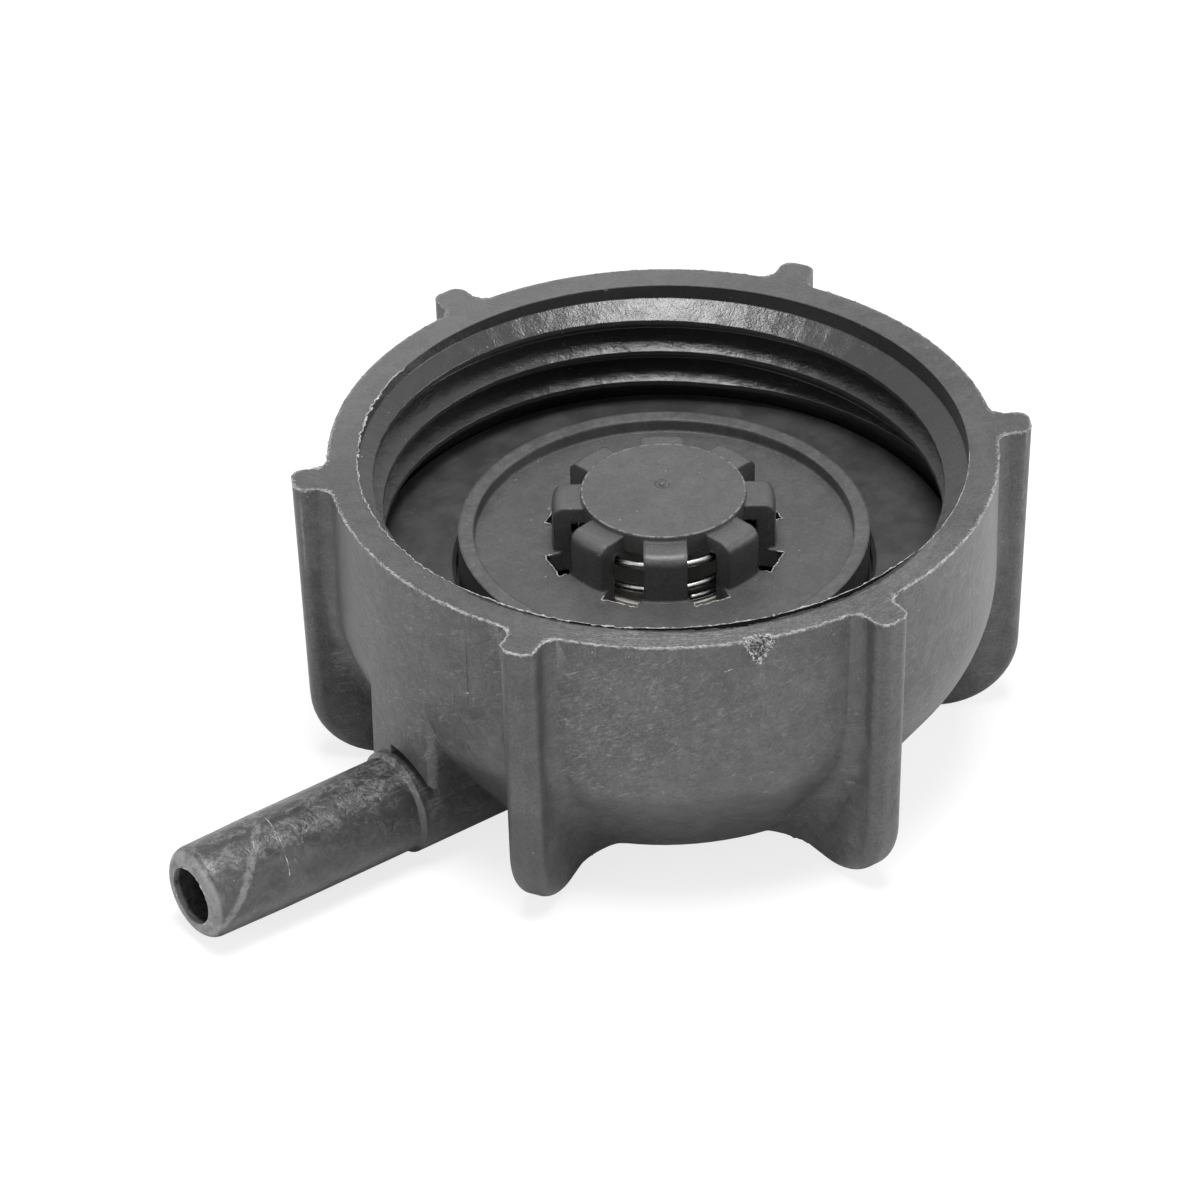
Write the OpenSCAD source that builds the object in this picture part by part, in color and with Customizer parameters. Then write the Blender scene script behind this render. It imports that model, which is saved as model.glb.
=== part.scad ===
// Expansion tank cap with a side hose nipple, standing on its closed end with its mouth up.
// Origin: centre of the flat closed end. +Z points out of the mouth, the nipple points along -X.

/* [Body] */
// Outside radius of the wall at the rim
rim_r = 34; // [33.5:0.25:36]
// Height from the closed end to the rim
body_h = 34.1; // [33:0.1:39]
// Wall between the thread's root and the outside, at the rim
wall_t = 3.1; // [2.6:0.1:3.4]
// How much narrower the wall is at its foot than at the rim, on the radius
wall_draft = 0.1; // [0:0.05:0.4]
// Height of the corner where the wall turns in to the cone
shoulder_h = 16.3; // [15.6:0.1:17]
// Slope of the cone under the wall, from the vertical
cone_angle = 34.6; // [32:0.2:36]
// Rounding between the wall and the cone
shoulder_round = 15; // [4:0.5:16]
// Rounding between the cone and the flat closed end
end_round = 9; // [4:0.5:10]
// Thickness of the closed end
end_t = 2.4; // [2:0.1:2.8]
// Thickness of the cone's wall
cone_t = 3; // [2.5:0.1:3.4]

/* [Fins] */
// Number of grip fins, an even number keeps the nipple between two of them
fin_count = 6; // [4:2:8]
// Thickness of a fin
fin_w = 3.7; // [3.2:0.1:4.6]
// How far a fin stands out of the rim
fin_out = 3.65; // [3.4:0.05:5]
// How much a fin's outer edge leans in from the rim to its foot
fin_draft = 0.8; // [0:0.1:1.2]
// Rounding of a fin's outer edges
fin_edge_round = 1.3; // [0.6:0.1:1.4]
// Rounding between a fin and the wall
fin_root_round = 1.9; // [1:0.1:2]
// Rounding of a fin's outer corner at the closed end
fin_corner_round = 8; // [4:0.5:9.5]

/* [Thread] */
// Pitch of the thread
thread_pitch = 3.75; // [3.4:0.05:4]
// Height of the thread's ridge over its root
thread_depth = 2.4; // [2:0.1:2.6]
// Width of the flat on the ridge's crest
thread_crest = 0.5; // [0.3:0.1:0.8]
// Angle of the ridge's flanks
thread_flank = 30; // [20:1:32]
// Depth of the ridge's first point under the rim
thread_start = 1.3; // [1:0.1:1.8]
// Turn over which the ridge grows to its full height, in degrees
thread_lead = 200; // [90:10:300]

/* [Nipple] */
// Outside radius of the hose nipple
nipple_r = 5; // [4.6:0.1:5.4]
// Distance from the cap's axis to the nipple's end
nipple_reach = 59.3; // [54:0.5:64]
// Radius of the nipple's bore
nipple_bore_r = 3.05; // [2.6:0.05:3.3]
// How far the bore's lowest line lies over the chamber's floor
nipple_bore_rise = 0.15; // [0.1:0.05:0.6]
// Rounding of the nipple's end
nipple_end_round = 1.4; // [0.6:0.1:1.6]
// How much narrower the nipple is at its end than at its middle, on the radius
nipple_taper = 0.15; // [0:0.05:0.3]
// Length of that taper
nipple_taper_len = 9; // [6:0.5:12]
// How far the collar at the nipple's root stands out of it, on the radius
collar_out = 0.45; // [0.2:0.05:0.6]
// Width of the apron that runs from the wall down to the nipple
apron_w = 10.5; // [9.6:0.1:12]
// Rounding of the apron's upright edges
apron_round = 1.2; // [0.6:0.1:1.6]
// Depth of the groove between the collar and the apron
groove_deep = 1.3; // [0.8:0.1:1.6]
// Width of that groove
groove_w = 1.1; // [0.8:0.1:1.4]

/* [Valve carrier] */
// Height of the face that the neck seal lies on
seat_h = 18.8; // [18.2:0.1:19.6]
// Thickness of the flange
flange_t = 2.5; // [2:0.1:2.8]
// Width of the ledge that the flange stands on
ledge_w = 2.15; // [1.8:0.05:2.6]
// Length of the spigot that plugs the chamber under the flange
spigot_len = 3.8; // [3.4:0.1:4]
// Outside radius of the nose
nose_r = 21; // [20.5:0.1:21.6]
// Wall of the nose
nose_t = 1.8; // [1.4:0.1:2]
// Height of the plate's top over the closed end
plate_h = 23.4; // [23:0.1:24]
// Thickness of the plate
plate_t = 2.2; // [1.8:0.1:2.4]
// How far the ring round the plate stands over it
ring_rise = 1.4; // [0.8:0.1:2]
// Width of that ring
ring_w = 1.6; // [1:0.1:2.2]
// Inside radius of the valve barrel
barrel_r = 16.5; // [16.2:0.1:16.8]
// Wall of the barrel
barrel_t = 1.4; // [1.2:0.1:1.6]
// Gap between the barrel's lower end and the closed end
barrel_gap = 0.8; // [0.4:0.1:1.2]
// Height of the pressure seat under the plate
seat_rise = 1.2; // [0.8:0.1:1.4]
// Distance from the barrel's wall to the middle of the pressure seat
seat_in = 2.8; // [2.6:0.1:3.1]
// Width of the seats' lands
land_w = 0.9; // [0.6:0.1:1]

/* [Crown] */
// Outside radius of the crown's fingers
crown_r = 11.4; // [11:0.1:11.6]
// Height of the fingers over the plate
crown_h = 5.3; // [4.8:0.1:6]
// Thickness of the fingers
finger_t = 1.7; // [1.4:0.1:1.8]
// Width of a finger
finger_w = 4.4; // [4:0.1:5]
// Number of fingers
finger_count = 8; // [6:1:9]
// Rounding of the fingers' tops
finger_round = 1.1; // [0.6:0.1:1.4]
// How far the disc's edge lies inside the fingers' outer faces
disc_in = 3; // [2.6:0.1:3.6]
// How far the disc stands over the fingers
disc_rise = 0.6; // [0.3:0.1:0.8]
// How far the windows through the plate reach past the fingers
window_out = 1; // [0.6:0.1:1.2]
// Width of those windows
window_w = 3.8; // [3:0.1:4.2]

/* [Seals] */
// Thickness of the neck seal
neck_seal_t = 2; // [1.6:0.1:2.4]
// Radius of the O-ring's cord
o_ring_cord_r = 0.85; // [0.7:0.05:0.9]
// Thickness of the pressure valve's seal
pressure_seal_t = 1.8; // [1.4:0.1:2]
// Thickness of the vacuum valve's seal
vacuum_seal_t = 1; // [0.8:0.1:1.2]

/* [Pressure valve] */
// Room between the valve plate and the barrel, where the gas passes
valve_room = 1.1; // [0.9:0.1:1.3]
// Thickness of the valve plate
valve_t = 1.8; // [1.5:0.1:2]
// Radius of the hole that the vacuum valve closes
port_r = 6; // [5.6:0.1:6.2]
// Distance from that hole's edge to the middle of the vacuum seat
port_rim = 1; // [0.8:0.05:1.1]
// Wire radius of the pressure spring
pressure_wire_r = 0.9; // [0.8:0.05:0.95]
// Mean radius of the pressure spring
pressure_coil_r = 11.6; // [11.4:0.1:11.9]
// Turns of the pressure spring
pressure_turns = 3.75; // [3.25:0.25:4]
// Thickness of the spring retainer
retainer_t = 1.6; // [1.4:0.1:1.8]

/* [Vacuum valve] */
// Room between the vacuum valve's disc and the fingers
poppet_room = 0.5; // [0.4:0.05:0.7]
// Thickness of that disc
poppet_t = 1.2; // [1:0.1:1.4]
// Radius of its stem
stem_r = 2; // [1.6:0.1:2.2]
// Wire radius of the vacuum spring
vacuum_wire_r = 0.42; // [0.35:0.01:0.45]
// How far the vacuum spring's wire lies inside the disc's edge
vacuum_coil_in = 0.6; // [0.5:0.05:0.8]
// Turns of the vacuum spring
vacuum_turns = 2.7; // [2.4:0.1:3.2]

/* [Fits] */
// Gap round parts that lie or plug into one another
fit_gap = 0.15; // [0.1:0.05:0.25]
// Gap round parts that slide
slide_gap = 0.08; // [0.05:0.01:0.1]
// Room between the flange and the thread's crest, for letting the carrier in
flange_room = 0.3; // [0.2:0.05:0.6]
// Gap between a closed valve's seal and its seat
seal_gap = 0.02; // [0.01:0.01:0.05]

/* [Hidden] */
$fn = 96;
// Overlap of cutting shapes past the faces that they cut
over = 1;
// Segments of a rounded corner in a turned profile
round_steps = 8;
// How far a fin's root rounding reaches into the faces that it blends, so that none only touches
bite = 0.03;
moulded = "#3b3b3c";
insert_grey = "#4a4a4b";
rubber = "#202021";
steel = "#b9b9b4";
acetal = "#d8d6cc";

// Wall and thread
wall_low_r = rim_r - wall_draft;
thread_r = rim_r - wall_t;
crest_r = thread_r - thread_depth;
cone_foot_r = wall_low_r - shoulder_h * tan(cone_angle);
nipple_h = end_t + nipple_bore_rise + nipple_bore_r;

// Roundings beside the fins: distance of their axes from a fin's middle, and depth of their base line
root_away = fin_w / 2 + fin_root_round - bite;
root_axis_r = rim_r + fin_root_round;
root_sink = root_axis_r - sqrt(root_axis_r * root_axis_r - root_away * root_away) + bite;

// Chamber under the carrier
flange_r = crest_r - flange_room;
recess_r = flange_r + fit_gap;
ledge_h = seat_h - flange_t;
chamber_r = recess_r - ledge_w;
chamber_in = cone_foot_r - cone_t / cos(cone_angle);
chamber_knee_h = (chamber_r - chamber_in) / tan(cone_angle);
chamber_foot_r = chamber_in + end_t * tan(cone_angle);
chamber_round = 2;

// Carrier
spigot_r = chamber_r - fit_gap;
groove_depth = 2 * o_ring_cord_r;
groove_h = ledge_h - spigot_len / 2;
spigot_in_r = spigot_r - groove_depth - 1;
nose_in_r = nose_r - nose_t;
plate_low = plate_h - plate_t;
pressure_seat_h = plate_low - seat_rise;
barrel_out_r = barrel_r + barrel_t;
barrel_foot = max(end_t + barrel_gap, (barrel_out_r + barrel_gap - chamber_in) / tan(cone_angle));
seat_r = barrel_r - seat_in;
hole_r = crown_r - finger_t;
window_r = crown_r + window_out;
disc_r = crown_r - disc_in;
crown_top = plate_h + crown_h;
crown_low = crown_top - finger_t;

// Valves, from the pressure seat down
valve_r = barrel_r - valve_room;
poppet_r = hole_r - poppet_room;
port_seat_r = port_r + port_rim;
vacuum_coil_r = poppet_r - vacuum_coil_in;
valve_top = pressure_seat_h - seal_gap - pressure_seal_t;
valve_low = valve_top - valve_t;
seal_in_r = poppet_r + 0.7;
seal_out_r = seat_r + 1.2;
rim_w = 0.8;
rim_in_r = seal_in_r - fit_gap - rim_w;
poppet_low = pressure_seat_h + 0.1;
poppet_top = poppet_low + poppet_t;
vacuum_seal_low = poppet_low - vacuum_seal_t;
port_seat_top = vacuum_seal_low - seal_gap;
washer_r = rim_in_r - 0.3;
hub_r = stem_r + slide_gap + 1.4;
hub_len = 4.2;
spigot_ring_r = pressure_coil_r - pressure_wire_r - 0.3;

// Retainer at the barrel's lower end
retainer_low = barrel_foot + 0.8;
retainer_top = retainer_low + retainer_t;
retainer_r = barrel_r - fit_gap;
lug_w = 5;
guide_count = 4;

function unit(v) = v / norm(v);
// Points of the rounding of corner b, between the edges from a and to c
function rounding(a, b, c, r, n = round_steps) =
    let (
        u = unit(a - b),
        v = unit(c - b),
        half = acos(u * v) / 2,
        m = b + unit(u + v) * (r / sin(half)),
        s = b + u * (r / tan(half)) - m,
        e = b + v * (r / tan(half)) - m,
        from = atan2(s[1], s[0]),
        turn = ((atan2(e[1], e[0]) - from + 540) % 360) - 180
    )
    [for (i = [0 : n]) m + r * [cos(from + turn * i / n), sin(from + turn * i / n)]];

module tube(outer, inner, low, high) {
    translate([0, 0, low])
        difference() {
            cylinder(r = outer, h = high - low);
            translate([0, 0, -over]) cylinder(r = inner, h = high - low + 2 * over);
        }
}

// A bar from the axis outwards, used for lugs, spokes and windows
module bar(from_r, to_r, width, low, high) {
    translate([from_r, -width / 2, low]) cube([to_r - from_r, width, high - low]);
}

module around(count, start = 0) {
    for (i = [0 : count - 1]) rotate([0, 0, start + i * 360 / count]) children();
}

// Outside of the body without fins: closed end, cone, wall
module body_outside() {
    axis_foot = [0, 0];
    foot = [cone_foot_r, 0];
    shoulder = [wall_low_r, shoulder_h];
    rim = [rim_r, body_h];
    rotate_extrude()
        polygon(concat(
            [axis_foot],
            rounding(axis_foot, foot, shoulder, end_round),
            rounding(foot, shoulder, rim, shoulder_round),
            [rim, [0, body_h]]
        ));
}

// Room inside the body: chamber, recess for the carrier, mouth
module body_inside() {
    rotate_extrude()
        polygon(concat(
            [[0, end_t]],
            rounding([0, end_t], [chamber_foot_r, end_t], [chamber_r, chamber_knee_h], chamber_round),
            [
                [chamber_r, chamber_knee_h],
                [chamber_r, ledge_h],
                [recess_r, ledge_h],
                [recess_r, seat_h],
                [thread_r, seat_h],
                [thread_r, body_h + over],
                [0, body_h + over]
            ]
        ));
}

// Cross-section of the roundings on both sides of a fin, over a base line at x = 0
module root_section() {
    difference() {
        translate([-cone_t, -root_away]) square([cone_t + fin_root_round, 2 * root_away]);
        for (s = [-1, 1]) translate([fin_root_round, s * root_away]) circle(r = fin_root_round);
    }
}

// A plan turned about the Y axis, from the +X direction down by the angle turn
module turned_sector(turn, reach) {
    half = fin_w + 2 * fin_root_round;
    intersection() {
        rotate([90, 0, 0]) rotate_extrude() children();
        translate([0, half, 0])
            rotate([90, 0, 0])
                linear_extrude(2 * half)
                    polygon([
                        [0, 0],
                        [reach, 0],
                        [reach, -reach * tan(turn / 2)],
                        [reach * cos(turn), -reach * sin(turn)]
                    ]);
    }
}

// Roundings between one fin and the body: up the wall, round the shoulder, down the cone, round the end
module fin_root() {
    shoulder_run = shoulder_round * tan(cone_angle / 2);
    end_run = end_round / tan(45 + cone_angle / 2);
    cone_len = shoulder_h / cos(cone_angle) - shoulder_run - end_run;
    intersection() {
        union() {
            translate([wall_low_r - root_sink - shoulder_round, 0, shoulder_h + shoulder_run]) {
                translate([shoulder_round, 0, 0]) linear_extrude(body_h) root_section();
                turned_sector(cone_angle, 2 * shoulder_round)
                    translate([shoulder_round, 0]) root_section();
                rotate([0, cone_angle, 0])
                    translate([shoulder_round, 0, -cone_len]) linear_extrude(cone_len) root_section();
            }
            translate([cone_foot_r - end_run, 0, end_round])
                rotate([0, cone_angle, 0])
                    turned_sector(90 - cone_angle, 2 * end_round)
                        translate([end_round - root_sink * cos(cone_angle), 0]) root_section();
        }
        cylinder(r = rim_r + fin_out, h = body_h);
    }
}

// Cross-section of a fin with its edge rounded, its tip at +X
module fin_section(back) {
    side = fin_w / 2 - fin_edge_round;
    flat = fin_corner_round - fin_edge_round;
    translate([-back, -fin_w / 2]) square([flat + back, fin_w]);
    translate([-back, -side]) square([fin_corner_round + back, 2 * side]);
    for (s = [-1, 1]) translate([flat, s * side]) circle(r = fin_edge_round);
}

// One fin: upright bar, wheel for its outer corner, and bar under the closed end
module fin() {
    lean = atan(fin_draft / (body_h - fin_corner_round));
    turn_r = rim_r + fin_out - fin_draft - fin_corner_round / cos(lean);
    depth = turn_r - chamber_in + cone_t;
    intersection() {
        translate([turn_r, 0, fin_corner_round]) {
            rotate([0, lean, 0]) linear_extrude(body_h) fin_section(depth);
            rotate([90, 0, 0]) rotate_extrude() fin_section(0);
            translate([-depth, 0, 0]) rotate([0, 90, 0]) linear_extrude(depth) fin_section(1);
        }
        cylinder(r = rim_r + fin_out + over, h = body_h);
    }
}

// Hose nipple along -X, from inside the cone's wall to its rounded end, with the collar at its root
module nipple_outside() {
    root = chamber_foot_r - nipple_r;
    collar_end = wall_low_r + 0.4;
    collar_r = nipple_r + collar_out;
    taper_from = nipple_reach - nipple_taper_len;
    end_corner = [nipple_r - nipple_taper, nipple_reach];
    translate([0, 0, nipple_h])
        rotate([0, -90, 0])
            rotate_extrude()
                polygon(concat(
                    [
                        [0, root],
                        [collar_r, root],
                        [collar_r, collar_end],
                        [nipple_r, collar_end + collar_out],
                        [nipple_r, taper_from]
                    ],
                    rounding([nipple_r, taper_from], end_corner, [0, nipple_reach], nipple_end_round),
                    [[0, nipple_reach]]
                ));
}

// Plan of the apron, with its upright edges rounded into the wall's face
module apron_plan() {
    half = apron_w / 2;
    side = half - apron_round;
    face = wall_low_r - apron_round;
    edge_x = sqrt(face * face - side * side) + 0.1;
    inner_x = chamber_r - 2;
    intersection() {
        circle(r = wall_low_r);
        union() {
            translate([-rim_r, -side]) square([rim_r - inner_x, 2 * side]);
            translate([-edge_x, -half]) square([edge_x - inner_x, apron_w]);
            for (s = [-1, 1]) translate([-edge_x, s * side]) circle(r = apron_round);
        }
    }
}

// Apron that runs from the wall down to the nipple, with the groove beside the nipple's collar
module apron() {
    collar_r = nipple_r + collar_out;
    groove_r = collar_r + groove_w;
    low = nipple_h + nipple_r / 2;
    high = shoulder_h + shoulder_round * tan(cone_angle / 2);
    difference() {
        translate([0, 0, low]) linear_extrude(high - low) apron_plan();
        // the groove goes from just past the top of the collar down the front
        intersection() {
            translate([-wall_low_r + groove_deep, 0, nipple_h])
                rotate([0, -90, 0]) tube(groove_r, collar_r, 0, rim_r);
            translate([-2 * rim_r, -rim_r, 0]) cube([2 * rim_r, rim_r + groove_w, body_h]);
        }
    }
}

module nipple_bore() {
    translate([-chamber_foot_r + nipple_r, 0, nipple_h])
        rotate([0, -90, 0]) cylinder(r = nipple_bore_r, h = nipple_reach);
}

// Ridge of the inside thread, run down from the mouth; it fades into the wall at both ends
module thread_ridge() {
    step = 6;
    sunk = 0.35;
    foot_half = thread_crest / 2 + thread_depth * tan(thread_flank);
    room = body_h - thread_start - seat_h - neck_seal_t - foot_half - 0.2;
    total = floor(room / thread_pitch * 360 / step) * step;
    run_out = 60;
    count = total / step;
    rings = [for (i = [0 : count])
        let (
            a = i * step,
            grow = max(0.04, min(1, sqrt(a / thread_lead), (total - a) / run_out)),
            depth = (thread_depth + sunk) * grow - sunk,
            top = thread_r - depth,
            half = thread_crest / 2,
            base = half + (depth + sunk) * tan(thread_flank) + 0.01,
            z = body_h - thread_start - thread_pitch * a / 360,
            turn = -126.3 - a
        )
        [
            for (q = [[thread_r + sunk, -base], [top, -half], [top, half], [thread_r + sunk, base]])
                [q[0] * cos(turn), q[0] * sin(turn), z + q[1]]
        ]
    ];
    points = [for (ring = rings) for (p = ring) p];
    sides = [for (i = [0 : count - 1]) for (j = [0 : 3])
        let (
            a = 4 * i + j,
            b = 4 * i + (j + 1) % 4
        )
        each [[a, b, b + 4], [a, b + 4, a + 4]]
    ];
    polyhedron(points, concat([[3, 2, 1, 0]], sides, [[for (j = [0 : 3]) 4 * count + j]]));
}

module cap_body() {
    color(moulded) {
        difference() {
            union() {
                body_outside();
                around(fin_count, 180 / fin_count) {
                    fin();
                    fin_root();
                }
                nipple_outside();
                apron();
            }
            body_inside();
            nipple_bore();
        }
        thread_ridge();
    }
}

// Flange, spigot, nose, plate with its ring, and barrel, as turned
module carrier_turned() {
    ring_top = plate_h + ring_rise;
    difference() {
        union() {
            cylinder(r = nose_r, h = ring_top);
            translate([0, 0, ledge_h]) cylinder(r = flange_r, h = flange_t);
            translate([0, 0, ledge_h - spigot_len]) cylinder(r = spigot_r, h = spigot_len + 1);
        }
        // underside of the flange's web and the spigot's inside
        tube(spigot_in_r, barrel_out_r, -over, ledge_h);
        tube(nose_in_r, barrel_out_r, -over, plate_low);
        translate([0, 0, -over]) cylinder(r = barrel_r, h = plate_low + over);
        tube(flange_r + over, barrel_out_r, -over, ledge_h - spigot_len);
        translate([0, 0, -over]) cylinder(r = barrel_out_r + over, h = barrel_foot + over);
        // groove for the O-ring
        tube(spigot_r + over, spigot_r - groove_depth, groove_h - 1, groove_h + 1);
        // top of the plate inside its ring
        translate([0, 0, plate_h]) cylinder(r = nose_r - ring_w, h = ring_rise + over);
    }
    tube(seat_r + land_w / 2, seat_r - land_w / 2, pressure_seat_h, plate_low + 0.1);
}

// Crown of fingers with the disc on top, solid down to the plate's underside
module crown() {
    intersection() {
        rotate_extrude()
            polygon(concat(
                [[0, plate_low], [crown_r, plate_low]],
                rounding([crown_r, plate_h], [crown_r, crown_top], [0, crown_top], finger_round),
                [[0, crown_top]]
            ));
        around(finger_count) bar(0, crown_r + over, finger_w, plate_low, crown_top + over);
    }
    translate([0, 0, crown_low]) cylinder(r = disc_r, h = finger_t + disc_rise);
}

module valve_carrier() {
    half_gap = 180 / finger_count;
    first_finger = -126.3;
    color(insert_grey)
        difference() {
            union() {
                difference() {
                    carrier_turned();
                    // windows through the plate, between the fingers
                    around(finger_count, first_finger + half_gap)
                        bar(hole_r - 2, window_r, window_w, plate_low - over, plate_h + over);
                    // slots that let the relieved gas out of the barrel
                    around(guide_count, 45)
                        bar(barrel_r - 2, barrel_out_r + over, 8, retainer_top + 2, valve_low - 1);
                    // windows that the retainer's lugs snap into
                    around(guide_count)
                        bar(barrel_r - 2, barrel_out_r + over, lug_w + 2 * fit_gap,
                            retainer_low - fit_gap, retainer_top + fit_gap);
                }
                rotate([0, 0, first_finger]) crown();
            }
            // hole that the vacuum valve stands in, up to the crown's roof
            translate([0, 0, -over]) cylinder(r = hole_r, h = crown_low + over);
        }
}

module neck_seal() {
    edge = 0.4;
    inner = nose_r + 2 * fit_gap;
    outer = thread_r - 2 * fit_gap;
    top = seat_h + neck_seal_t;
    color(rubber)
        rotate_extrude()
            polygon([
                [inner, seat_h],
                [outer, seat_h],
                [outer, top - edge],
                [outer - edge, top],
                [inner + edge, top],
                [inner, top - edge]
            ]);
}

module carrier_o_ring() {
    color(rubber)
        translate([0, 0, groove_h])
            rotate_extrude() translate([spigot_r - o_ring_cord_r, 0]) circle(r = o_ring_cord_r, $fn = 24);
}

module pressure_valve() {
    lip_r = seal_out_r + fit_gap;
    color(acetal) {
        difference() {
            union() {
                translate([0, 0, valve_low]) cylinder(r = valve_r, h = valve_t);
                around(guide_count) bar(valve_r - 1, barrel_r - 0.4, lug_w, valve_low, valve_top);
                intersection() {
                    around(guide_count) bar(valve_r - 1, barrel_r, lug_w, valve_low, valve_top);
                    cylinder(r = barrel_r - slide_gap, h = body_h);
                }
            }
            translate([0, 0, valve_low - over]) cylinder(r = port_r, h = valve_t + 2 * over);
        }
        // rims that hold the seal
        tube(valve_r, lip_r, valve_top - 0.1, valve_top + pressure_seal_t / 2);
        tube(seal_in_r - fit_gap, rim_in_r, valve_top - 0.1, valve_top + pressure_seal_t / 2);
        tube(port_seat_r + land_w / 2, port_seat_r - land_w / 2, valve_top - 0.1, port_seat_top);
        // ring that centres the spring
        tube(spigot_ring_r, spigot_ring_r - 1.4, valve_low - 1.6, valve_low + 0.1);
        // hub and spokes that guide the stem
        difference() {
            union() {
                translate([0, 0, valve_top - hub_len]) cylinder(r = hub_r, h = hub_len);
                around(3, 90) bar(0, port_r + 0.5, 1.6, valve_low, valve_top - 0.3);
            }
            translate([0, 0, valve_low - hub_len])
                cylinder(r = stem_r + slide_gap, h = 2 * hub_len + valve_t);
        }
    }
}

module pressure_seal() {
    color(rubber) tube(seal_out_r, seal_in_r, valve_top, valve_top + pressure_seal_t);
}

// Wire wound on a helix with closed ends, from low to high, starting at the angle start
module coil(coil_r, wire_r, turns, low, high, start, sides = 8, per_turn = 24) {
    end_turns = 0.75;
    z0 = low + wire_r;
    rise = high - low - 2 * wire_r;
    end_rise = end_turns * 2 * wire_r * 1.02;
    count = round(turns * per_turn);
    function height(t) =
        t < end_turns ? end_rise * t / end_turns
        : t > turns - end_turns ? rise - end_rise * (turns - t) / end_turns
        : end_rise + (rise - 2 * end_rise) * (t - end_turns) / (turns - 2 * end_turns);
    points = [for (i = [0 : count]) for (j = [0 : sides - 1])
        let (
            t = turns * i / count,
            a = start + 360 * t,
            q = 360 * (j + 0.5) / sides,
            r = coil_r + wire_r * cos(q)
        )
        [r * cos(a), r * sin(a), z0 + height(t) + wire_r * sin(q)]
    ];
    faces = [for (i = [0 : count - 1]) for (j = [0 : sides - 1])
        let (
            a = sides * i + j,
            b = sides * i + (j + 1) % sides
        )
        each [[a, a + sides, b + sides], [a, b + sides, b]]
    ];
    polyhedron(points, concat(
        [[for (j = [0 : sides - 1]) j]],
        faces,
        [[for (j = [sides - 1 : -1 : 0]) sides * count + j]]
    ));
}

module pressure_spring() {
    color(steel)
        coil(pressure_coil_r, pressure_wire_r, pressure_turns, retainer_top, valve_low, 20);
}

module spring_retainer() {
    color(acetal) {
        difference() {
            union() {
                translate([0, 0, retainer_low]) cylinder(r = retainer_r, h = retainer_t);
                intersection() {
                    around(guide_count) bar(0, barrel_out_r, lug_w, retainer_low, retainer_top);
                    cylinder(r = barrel_out_r - fit_gap, h = body_h);
                }
                translate([0, 0, retainer_low]) cylinder(r = spigot_ring_r, h = retainer_t + 1.2);
            }
            cylinder(r = spigot_ring_r - 1.4, h = body_h);
        }
    }
}

module vacuum_valve() {
    spring_in_r = vacuum_coil_r - vacuum_wire_r - 0.25;
    stem_foot = valve_top - hub_len - 1.2;
    color(acetal) {
        translate([0, 0, poppet_low]) cylinder(r = poppet_r, h = poppet_t);
        tube(spring_in_r, spring_in_r - 1.2, poppet_top - 0.1, poppet_top + 0.8);
        translate([0, 0, vacuum_seal_low]) cylinder(r = stem_r + 1, h = vacuum_seal_t + 0.1);
        translate([0, 0, stem_foot]) cylinder(r = stem_r, h = poppet_low - stem_foot);
    }
}

module vacuum_seal() {
    color(rubber) tube(washer_r, stem_r + 1 + fit_gap / 2, vacuum_seal_low, poppet_low);
}

module vacuum_spring() {
    color(steel)
        coil(vacuum_coil_r, vacuum_wire_r, vacuum_turns, poppet_top, crown_low, -112);
}

cap_body();
valve_carrier();
neck_seal();
carrier_o_ring();
pressure_valve();
pressure_seal();
pressure_spring();
spring_retainer();
vacuum_valve();
vacuum_seal();
vacuum_spring();
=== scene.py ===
import bpy
import math
from mathutils import Matrix, Vector, noise


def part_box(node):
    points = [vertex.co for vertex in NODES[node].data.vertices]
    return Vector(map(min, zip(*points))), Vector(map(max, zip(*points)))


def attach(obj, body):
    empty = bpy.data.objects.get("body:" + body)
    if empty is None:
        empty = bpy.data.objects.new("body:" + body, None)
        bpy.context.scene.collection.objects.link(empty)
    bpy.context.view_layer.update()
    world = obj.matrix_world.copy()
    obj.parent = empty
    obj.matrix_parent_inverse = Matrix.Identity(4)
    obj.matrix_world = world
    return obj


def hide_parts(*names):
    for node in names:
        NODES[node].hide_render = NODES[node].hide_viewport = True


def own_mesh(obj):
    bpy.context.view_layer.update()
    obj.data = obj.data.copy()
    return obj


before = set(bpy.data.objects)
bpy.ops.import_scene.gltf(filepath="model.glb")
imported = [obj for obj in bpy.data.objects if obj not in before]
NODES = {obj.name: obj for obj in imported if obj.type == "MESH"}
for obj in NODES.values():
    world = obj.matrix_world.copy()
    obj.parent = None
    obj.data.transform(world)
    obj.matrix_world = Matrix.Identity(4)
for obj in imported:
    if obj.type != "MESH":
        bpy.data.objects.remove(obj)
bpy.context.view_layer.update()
MM = 0.001

# Sizes of the solids that the fine pieces sit on, in mm
RIM_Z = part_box("cap_body")[1][2] / MM
RIM_R = 34.0
THREAD_R = 30.9
FIN_COUNT = 6
FIN_FIRST = 30
FIN_STEP = 60
FIN_HALF = 1.85
FIN_TIP = 37.65
FIN_EDGE = 1.3
ROOT_R = 1.9
PLATE_Z = 23.4
CROWN_R = 11.4
WINDOW_OUT = 12.4
WINDOW_HALF = 1.9
FINGER_COUNT = 8
FIRST_WINDOW = -126.3 + 22.5
DISC_Z = 29.3
DISC_R = 8.4
NIPPLE_Z = 5.6
NIPPLE_R = 5.0
NIPPLE_END = 59.3
BORE_R = 3.08
# parting line's place on the wall, in degrees
SEAM_AZ = 197.9
# the camera's side, in degrees from -Y, and its lens
CAMERA_TURN = -36.315
CAMERA_LENS = 201.3
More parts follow.
